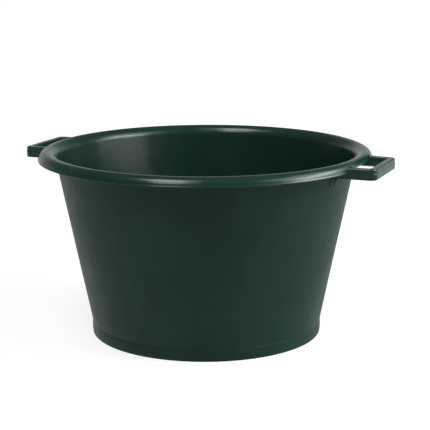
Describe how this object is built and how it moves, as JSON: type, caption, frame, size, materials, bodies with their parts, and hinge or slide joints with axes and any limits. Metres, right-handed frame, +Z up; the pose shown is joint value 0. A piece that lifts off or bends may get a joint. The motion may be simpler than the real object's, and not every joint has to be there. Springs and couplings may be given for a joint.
{
  "type": "mortar mixing tub",
  "caption": "Round tapered plastic tub with a rolled rim, loop handles on opposite sides and a foot ring, for mixing and carrying mortar.",
  "frame": {"origin": "centre of the tub's base, on the surface it stands on", "axes": "+Z up along the tub's axis; the handles point along +X and -X"},
  "size_m": [0.7, 0.6296, 0.35],
  "materials": {
    "tub_body": "satin moulded polyethylene, dark green",
    "rim_and_handles": "semi-gloss moulded polyethylene, dark green"
  },
  "bodies": {
    "root": {"tub_wall": "tub_body", "tub_floor": "tub_body", "foot_ring": "tub_body", "rim_shoulder": "rim_and_handles", "rim_skirt": "rim_and_handles", "handle_right": "rim_and_handles", "handle_left": "rim_and_handles", "gusset_right_front_outer": "rim_and_handles", "gusset_right_front_inner": "rim_and_handles", "gusset_right_rear_inner": "rim_and_handles", "gusset_right_rear_outer": "rim_and_handles", "gusset_left_front_outer": "rim_and_handles", "gusset_left_front_inner": "rim_and_handles", "gusset_left_rear_inner": "rim_and_handles", "gusset_left_rear_outer": "rim_and_handles"}
  },
  "joints": []
}
